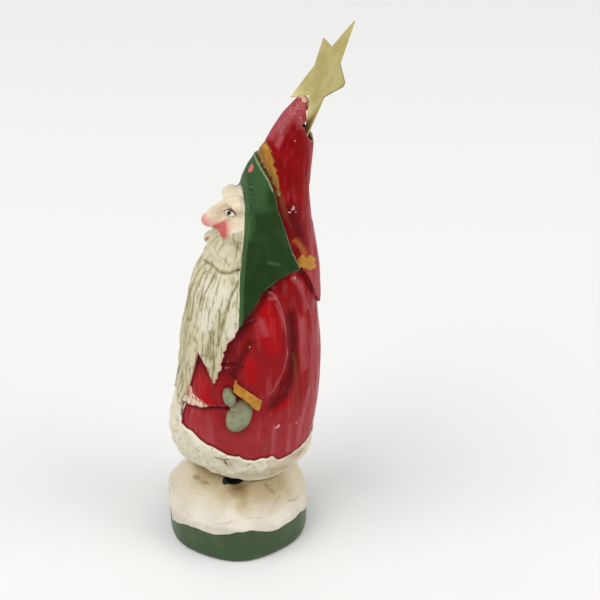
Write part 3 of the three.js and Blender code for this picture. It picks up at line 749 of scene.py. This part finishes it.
# The plain cloth shows the flats of the knife, and the left lip of the broken tip stands back
cloth = (1 - ease(cream, -0.5, 0.2)) * (1 - ease(fur, -0.3, 0.3)) * (1 - ease(-hand, -0.6, 0.0))
lift += whittled(points, normals, cell=9.0, keep_depth=0.35, seed=51) * 0.6 * cloth * soft
lift += 0.35 * (grain(turn / 9, z / 14, 52) - 0.5) * cloth
lift *= ease(z, SEAT_TOP, SEAT_TOP + 2.0)
points = points + normals * lift[:, None]
on_lip = ease(z, 176.5, 179.0) * ease(z, 189.5, 187.0) * ease(y, 24.8, 27.0) * (x > 0)
points[:, 1] += LIP_REACH * on_lip
points, normals = move_to(santa.data, points)
finish = soft * (1.0 - 0.5 * on_face)
points += (worn(santa.data, points, passes=2, strength=0.3) - points) * finish[:, None]
points, normals = move_to(santa.data, points)
hollow = hollows(santa.data, points, normals)

# The broken tip: 1 on the hat's outside, 0 on the broken edge, -1 in the hollow, painted dark as shadow
up_hat = np.clip((z - HAT_FROM) / HAT_RISE, 0, 1)[:, None]
from_middle = points - (np.array([*HAT_FOOT, 0]) * (1 - up_hat) + np.array([*HAT_TIP, 0]) * up_hat)
from_middle[:, 2] = 0.0
outwards = (from_middle * normals).sum(1) / np.maximum(np.linalg.norm(from_middle, axis=1), 0.5)
outwards = np.where((z > BROKEN_FROM[0]) & (y > BROKEN_FROM[1]), outwards, 1.0)
on_floor = (z > HOLLOW_FLOOR[0]) & (z < HOLLOW_FLOOR_TOP) & (y > HOLLOW_FLOOR[1]) & (normals[:, 2] > 0.6)
outwards = np.where(on_floor, -1.0, outwards)

# Painted sheen, pale pink where varnish catches light, and painted shade, deep red mostly beside the ledges
on_red = (cream < 0) & (fur < 0) & (lappet < 0)
painted_sheen = stroked(y, z, SHEEN_STROKES)
painted_sheen = np.maximum(painted_sheen, 0.6 * ease(y, 25.5, 30.0) * ease(z, 40, 50))
painted_sheen = np.maximum(painted_sheen, 0.5 * stroked(around, z, LOW_SHEEN_STROKES))
shade_by_lappet = 1.2 * hump(lappet, -0.4, 4.2) * ease(y, 22, 17) * ease(z, 128, 124)
shade_by_beard = hump(hair, -0.4, 4.6) * ease(z, 80, 90) * ease(z, 112, 104)
deep = stroked(y, z, SHADE_STROKES)
deep = np.maximum(deep, np.where(on_red & (y > -2), shade_by_lappet, 0))
deep = np.maximum(deep, np.where(on_red & (y < 4), shade_by_beard, 0))
deep = np.maximum(deep, np.where(on_red, 0.6 * hump(fur, -0.2, 1.4), 0))
deep = np.maximum(deep, np.where(on_red & (y < 0), hump(tunic, -0.6, 1.6), 0))
keep(santa.data, {
    "lappet": lappet,
    "cuff": cuff,
    "fur": fur,
    "cream": cream,
    "beard": beard,
    "face": face,
    "moustache": moustache,
    "hand": -hand,
    "strand": strand,
    "hollow": hollow,
    "hair": np.where(z < 112, hair, 9.0),
    "rim": np.where(lappet > -0.3, rim, -9.0),
    "smooth_patch": smooth_patch,
    "unrolled": turn * MM,
    "painted_sheen": painted_sheen,
    "deep": deep,
    "low": ease(z, 80, 56) * ease(z, 40, 48),
    "bright": np.maximum(stroked(y, z, BRIGHT_STROKES), stroked(around, z, [LOW_BRIGHT_STROKE])),
    "olive": stroked(y, z, OLIVE_STROKES),
    "orange": stroked(y, z, ORANGE_STROKES),
    "ochre": np.maximum(inside(y, z, GOLD_EDGE), np.where(lappet < 0.2, inside(y, z, OCHRE_PATCH), -9.0)),
    "tarnished": stroked(y, z, TARNISHED_STROKES),
    "scuffed": stroked(y, z, SCUFFED_STROKES),
    "gap": stroked(y, z, GAP_SHADOW_STROKES),
    "worn": stroked(y, z, WORN_STROKES),
    "pitted": stroked(y, z, PITTED_STROKES),
    "facet_highlight": stroked(y, z, LIT_FACET_STROKES),
    "chip": dotted(points, CHIPS),
    "raw": dotted(points, RAW_WOOD),
    "pink_dot": dotted(points, [PINK_DOT]),
    "splash": np.where(turn > 0, inside(around, z, SPLASH), -9.0),
    "slot": np.maximum(stroked(turn, z, [BAND_SLOT_SHADOW]), 0.8 * cracks * (fur > 0)),
    "fur_shade": stroked(around, z, FUR_SHADE),
    "pink_fur_shade": stroked(around, z, PINK_FUR_SHADE),
    "beard_grime_and_shade": stroked(around, z, BEARD_GRIME_AND_SHADE),
    "outwards": outwards,
    "wedge": WEDGE_SHADOW_SHARE - reach_of(points, *WEDGE),
})

# Every colour is artist's acrylic, brushed on by eye, so edges waver and coats are uneven. The brown
# wash stays in the cuts. One coat of satin varnish gives it all the same soft sheen.
# Some sheen, highlight and shade are painted into the colours as well.
santa_finish, tree, shader, place = new_finish("hand_brushed_acrylics_and_brown_wash_under_satin_varnish")
broad = mottle(tree, place, 16, 1)
patchy = mottle(tree, place, 5.0, 2)
waver = mottle(tree, place, 1.7, 3)
fine = mottle(tree, place, 0.7, 4, detail=4.0)
specks = mottle(tree, place, 0.5, 6, detail=1.0)
strokes = mottle(tree, place, 2.6, 5, stretch=(1, 1, 0.12))
high = add(tree, "SeparateXYZ", {"Vector": place}, out="Z")
laid_flat = add(tree, "CombineXYZ", {0: kept(tree, "unrolled"), 2: high})
hairs = mottle(tree, laid_flat, 0.9, 7, stretch=(1, 1, 0.14))
cuts = kept(tree, "hollow", waver, 0.12)
edges = kept(tree, "hollow", waver, 0.1)


def dab(tree, place, centre, size):
    """Distance from a dab of paint's middle, as a share of its half sizes, on both sides of him."""
    parts = add(tree, "VectorMath", {0: place}, operation="ABSOLUTE")
    across = add(tree, "SeparateXYZ", {"Vector": parts}, out="X")
    up = add(tree, "SeparateXYZ", {"Vector": parts}, out="Z")
    seen = add(tree, "CombineXYZ", {0: across, 2: up})
    middle = (centre[0] * MM, 0, centre[1] * MM)
    moved = add(tree, "VectorMath", {0: seen, 1: middle}, operation="SUBTRACT")
    shares = add(tree, "VectorMath", {0: moved, 1: (size[0] * MM, 1, size[1] * MM)}, operation="DIVIDE")
    return add(tree, "VectorMath", {0: shares}, out="Value", operation="LENGTH")


red = coated(tree, "#83060a", [
    ("#930a0f", patchy, 0.42, 0.66, 0.7),
    ("#6c0509", broad, 0.5, 0.66, 0.6),
    ("#8f1a1f", high, 122 * MM, 92 * MM, 0.75),
    ("#b0464c", strokes, 0.52, 0.68, 0.22),
    # painted sheen: pale pink low on the robe
    ("#b34a50", kept(tree, "low", patchy, 1.6), 0.2, 1.1, 0.32),
    ("#a60a10", kept(tree, "bright", patchy, 0.7), 0.05, 0.7, 0.85),
    # painted sheen: pale pink where the varnished red would catch the light
    ("#ac4f55", kept(tree, "painted_sheen", strokes, 1.6), 0.1, 1.0, 0.75),
    # painted shade: deep red where shade falls
    ("#55070a", kept(tree, "deep", patchy, 0.5), 0.15, 0.9, 0.85),
    ("#6b5232", kept(tree, "olive", strokes, 1.6), 0.2, 1.1, 0.42),
    ("#b35f2a", kept(tree, "orange", patchy, 2.2), 0.1, 0.8, 0.7),
    ("#b8666a", kept(tree, "scuffed", patchy, 1.0), 0.0, 0.8, 0.3),
    ("#d8aaa2", kept(tree, "scuffed", fine, 3.6), 0.85, 1.7, 0.5),
    ("#47090d", kept(tree, "scuffed", specks, -3.6), 0.85, 1.7, 0.5),
    ("#3c0709", cuts, 0.05, 0.26, 0.65),
    ("#b4666a", edges, -0.1, -0.2, 0.45),
])
bottle = coated(tree, "#233a18", [
    ("#2b4522", patchy, 0.48, 0.66, 0.7),
    ("#1c3010", broad, 0.52, 0.64, 0.5),
    # painted highlight: lighter green on the hood's lit flats
    ("#3c5c37", kept(tree, "facet_highlight", patchy, 0.5), 0.1, 0.7, 0.8),
    # a lighter green along the hood's front rim: painted reflection
    ("#45623c", kept(tree, "rim", waver, 0.7), -2.1, -1.5, 0.75),
    ("#10190a", kept(tree, "pitted", specks, 3.2), 1.0, 1.5, 0.8),
    ("#7d9078", kept(tree, "pitted", fine, 3.2), 1.35, 1.6, 0.8),
    ("#0f180a", cuts, 0.04, 0.22, 0.7),
    ("#8a9068", kept(tree, "worn", waver, 0.9), 0.25, 0.6, 0.9),
    ("#76845f", edges, -0.12, -0.22, 0.3),
    ("#d06a6c", kept(tree, "pink_dot", waver, 0.5), 0.25, 0.4, 0.95),
])
ochre = coated(tree, "#aa742d", [
    ("#c4903a", patchy, 0.42, 0.6, 1.0),
    ("#86682a", waver, 0.56, 0.7, 0.6),
    ("#d9c79a", specks, 0.68, 0.74, 0.5),
    ("#5e421c", cuts, 0.05, 0.22, 0.9),
])
gilt_edge = coated(tree, ochre, [
    ("#5c3a18", kept(tree, "ochre", waver, 1.2), 0.5, 0.1, 0.5),
    ("#6d5c2e", kept(tree, "tarnished", patchy, 1.6), 0.0, 0.7, 0.75),
    ("#c3b385", kept(tree, "tarnished", fine, 3.4), 1.15, 1.45, 0.7),
])
ivory = coated(tree, "#cec7a9", [
    ("#d9d3bc", patchy, 0.45, 0.62, 0.6),
    ("#bcb38d", broad, 0.48, 0.64, 0.5),
    ("#e0dbca", kept(tree, "smooth_patch", patchy, 1.2), 0.0, 1.0, 0.7),
    # grime down the front, and painted shade in the fold under the moustache
    ("#b6ad87", kept(tree, "beard_grime_and_shade", patchy, 0.8), 0.05, 0.9, 0.55),
    ("#8f8459", hairs, 0.52, 0.64, 0.7),
    ("#7d7249", kept(tree, "strand", waver, 0.7), 0.5, 1.3, 0.75),
    ("#5d5034", cuts, 0.05, 0.26, 0.65),
    ("#c98d83", kept(tree, "hair", waver, 1.2), 0.5, 0.0, 0.6),
])
skin = coated(tree, "#dccdb0", [
    ("#e2d6bd", patchy, 0.45, 0.6, 1.0),
    ("#b58f70", dab(tree, place, *EYE_SHADE), 1.15, 0.6, 0.4),
    ("#8a5f47", cuts, 0.05, 0.22, 0.7),
    ("#ba2f3b", dab(tree, place, *CHEEK_PINK), 1.12, 0.75, 0.85),
    ("#d9858a", dab(tree, place, *NOSE_PINK), 1.1, 0.7, 0.8),
    ("#e6dfcd", kept(tree, "strand"), 0.0, 0.5, 0.5),
    ("#a34a42", dab(tree, place, *LOWER_LIP), 1.05, 0.85, 0.9),
    ("#5d4030", dab(tree, place, *EYE), 1.1, 1.0, 0.9),
    ("#dfd6c2", dab(tree, place, *EYE_WHITE), 1.05, 0.95, 1.0),
    ("#56645f", dab(tree, place, *IRIS), 1.06, 0.94, 1.0),
    ("#17130f", dab(tree, place, *PUPIL), 1.08, 0.92, 1.0),
])
fleece = coated(tree, "#d2cbb2", [
    ("#ddd7c3", patchy, 0.44, 0.6, 0.9),
    # paler near the fur's edges: painted highlight where the raised edge catches the light
    ("#e8e2d0", kept(tree, "fur", waver, 0.9), 1.3, 0.6, 0.8),
    # painted shade: darker tan low on the fur
    ("#b5a588", kept(tree, "fur_shade", patchy, 0.8), 0.05, 0.8, 0.65),
    ("#9b9176", waver, 0.54, 0.68, 0.5),
    ("#b3a184", broad, 0.52, 0.62, 0.5),
    ("#5d5238", cuts, 0.05, 0.22, 0.65),
    # painted shade: pink-tan on the fur towards his back
    ("#b08a78", kept(tree, "pink_fur_shade", patchy, 0.8), 0.1, 0.9, 0.6),
    # a dark line beside the band as painted shadow, and the fur's crack darkened
    ("#574c34", kept(tree, "slot", fine, 0.9), 0.3, 0.8, 0.8),
])
wool = coated(tree, "#817c60", [
    ("#8d9478", patchy, 0.45, 0.6, 0.9),
    ("#7fa283", edges, -0.08, -0.16, 0.5),
    ("#906e58", waver, 0.55, 0.68, 0.5),
    ("#413d2b", cuts, 0.05, 0.24, 0.9),
])
splash = coated(tree, "#dccbb4", [
    ("#c24a4e", waver, 0.5, 0.6, 0.8),
    ("#8c1219", fine, 0.56, 0.62, 0.8),
])

santa_colour = coated(tree, red, [
    (bottle, kept(tree, "lappet", waver, 0.3), -0.08, 0.08, 1.0),
    (gilt_edge, kept(tree, "ochre", waver, 3.2), -0.15, 0.3, 0.95),
    # painted shadow in the cut behind the green's back edge
    ("#22160b", kept(tree, "gap", fine, 1.2), 0.35, 0.7, 0.9),
    (splash, kept(tree, "splash", waver, 2.2), -0.2, 0.1, 0.95),
    (ivory, kept(tree, "cream", waver, 0.7), -0.1, 0.1, 1.0),
    (fleece, kept(tree, "fur", waver, 0.5), -0.1, 0.1, 1.0),
    (ivory, kept(tree, "beard", waver, 0.3), -0.1, 0.1, 1.0),
    (skin, kept(tree, "face", waver, 0.4), -0.2, 0.2, 1.0),
    (ivory, kept(tree, "moustache", waver, 0.3), -0.1, 0.1, 1.0),
    (ochre, kept(tree, "cuff", waver, 0.3), -0.08, 0.08, 1.0),
    (wool, kept(tree, "hand", waver, 0.3), -0.35, -0.2, 1.0),
    ("#d8b3a4", kept(tree, "chip", fine, 2.4), 0.3, 0.6, 0.85),
    ("#c9b184", kept(tree, "raw", waver, 0.9), 0.2, 0.45, 0.95),
    ("#c2a286", kept(tree, "outwards", waver, 0.4), 0.45, 0.2, 0.9),
    # near black inside the hat's broken hollow: painted shadow
    ("#1c110a", kept(tree, "outwards", waver, 0.3), -0.2, -0.5, 0.95),
    # near black painted under the hem at the open wedge: painted shadow
    ("#120c08", kept(tree, "wedge"), 0.0, 0.12, 1.0),
])
tree.links.new(santa_colour, shader.inputs["Base Color"])
satin = add(tree, "MapRange", {0: patchy, 1: 0.35, 2: 0.65, 3: 0.28, 4: 0.44})
tree.links.new(satin, shader.inputs["Roughness"])
relief = add(tree, "Math", {0: fine, 1: 0.6, 2: strokes}, operation="MULTIPLY_ADD")
rough_bump(tree, shader, relief, 0.1)
shader.inputs["Specular IOR Level"].default_value = 0.03
shader.inputs["Coat Weight"].default_value = 0.08
shader.inputs["Coat Roughness"].default_value = 0.16
santa.data.materials.append(santa_finish)
finished(santa, "santa_figure", "santa_figure_carved")

# The star.
# Five uneven points cut by hand from thin brass sheet with snips. It was never polished, so it is a
# dull greenish gold all over. One long leg stands in a slot in the hat's broken tip.

# How far the cut edges are worn round, and the way that the sheet's flat side looks
CUT_ROUND = 0.1
STAR_FACE = (0.0, -0.866, 0.5)

sheet = bmesh.new()
sheet.from_mesh(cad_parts["brass_star"].data)
bmesh.ops.remove_doubles(sheet, verts=sheet.verts, dist=WELD * MM)
bmesh.ops.dissolve_limit(sheet, angle_limit=math.radians(2), verts=sheet.verts, edges=sheet.edges)
bmesh.ops.bevel(
    sheet, geom=sheet.edges, offset=CUT_ROUND * MM, segments=2, profile=0.5, affect="EDGES", material=-1,
)
star_mesh = bpy.data.meshes.new("brass_star_cut")
sheet.to_mesh(star_mesh)
sheet.free()
star = bpy.data.objects.new("brass_star_cut", star_mesh)
bpy.context.scene.collection.objects.link(star)

# Rolled sheet brass, lightly tarnished: its reflections are broad and soft, its tone is cloudy,
# and it is browner on the cut edges; low on the leg a paler colour is painted in for the light on it
star_finish, tree, shader, place = new_finish("dull_sheet_brass_lightly_tarnished")
cloudy = mottle(tree, place, 8, 1)
specks = mottle(tree, place, 0.9, 2)
high = add(tree, "SeparateXYZ", {"Vector": place}, out="Z")
normal = add(tree, "TexCoord", {}, out="Normal")
turned = add(tree, "VectorMath", {0: normal, 1: STAR_FACE}, out="Value", operation="DOT_PRODUCT")
facing = add(tree, "Math", {0: turned}, operation="ABSOLUTE")
tarnish = coated(tree, "#d9cc8c", [
    ("#c8bb78", cloudy, 0.42, 0.6, 1.0),
    ("#b5a766", specks, 0.62, 0.76, 0.35),
    # painted light: paler brass low on the leg
    ("#f6e9a8", high, 184 * MM, 179 * MM, 1.0),
    ("#a39557", facing, 0.8, 0.3, 0.85),
])
tree.links.new(tarnish, shader.inputs["Base Color"])
dull = add(tree, "MapRange", {0: cloudy, 1: 0.35, 2: 0.65, 3: 0.5, 4: 0.62})
tree.links.new(dull, shader.inputs["Roughness"])
rough_bump(tree, shader, specks, 0.04)
shader.inputs["Metallic"].default_value = 1.0
star_mesh.materials.append(star_finish)
finished(star, "brass_star", "brass_star_cut")

# The studio.
# A pale paper floor that runs out of view, one wide soft window light from before him, a weaker one
# from behind, both on his left, and an even white surround.

FLOOR_SIZE = 8.0
LAMPS_AIM_AT = 0.1
ROOM_LIGHT = 0.66
CAMERA_PLACE = (0.44678, -0.07607, 0.36784)
CAMERA_AZIMUTH = 77
CAMERA_PITCH = 30
LENS = 81.18

bpy.ops.mesh.primitive_plane_add(size=FLOOR_SIZE)
floor = bpy.context.object
floor.name = "paper_floor"

# Matt white paper: it has no shine of its own, so only the soft shadow shows on it
floor_finish, tree, shader, place = new_finish("matt_white_paper")
shader.inputs["Base Color"].default_value = paint("#e9e9e8")
shader.inputs["Roughness"].default_value = 0.9
floor.data.materials.append(floor_finish)


def towards(azimuth, elevation):
    """The direction from the object to something seen at that bearing and height."""
    a, e = math.radians(azimuth), math.radians(elevation)
    return Vector((math.sin(a) * math.cos(e), -math.cos(a) * math.cos(e), math.sin(e)))


def soft_light(name, azimuth, elevation, distance, size, power):
    """A round window of light that looks at the object from that bearing and height."""
    lamp = bpy.data.objects.new(name, bpy.data.lights.new(name, "AREA"))
    lamp.data.shape = "DISK"
    lamp.data.size = size
    lamp.data.energy = power
    away = towards(azimuth, elevation)
    lamp.location = away * distance + Vector((0, 0, LAMPS_AIM_AT))
    lamp.rotation_mode = "QUATERNION"
    lamp.rotation_quaternion = away.to_track_quat("Z", "Y")
    bpy.context.scene.collection.objects.link(lamp)


soft_light("window_front", azimuth=20, elevation=54, distance=2.4, size=2.0, power=29.0)
soft_light("window_back", azimuth=150, elevation=38, distance=2.4, size=1.8, power=19.0)
world = bpy.data.worlds.new("pale_room")
world.use_nodes = True
world.node_tree.nodes["Background"].inputs["Color"].default_value = paint("#ffffff")
world.node_tree.nodes["Background"].inputs["Strength"].default_value = ROOM_LIGHT
bpy.context.scene.world = world
bpy.context.scene.view_settings.view_transform = "Standard"

camera = bpy.data.objects.new("camera", bpy.data.cameras.new("camera"))
camera.location = CAMERA_PLACE
camera.rotation_mode = "QUATERNION"
camera.rotation_quaternion = towards(CAMERA_AZIMUTH, CAMERA_PITCH).to_track_quat("Z", "Y")
camera.data.lens = LENS
camera.data.clip_start = 0.01
bpy.context.scene.collection.objects.link(camera)
bpy.context.scene.camera = camera
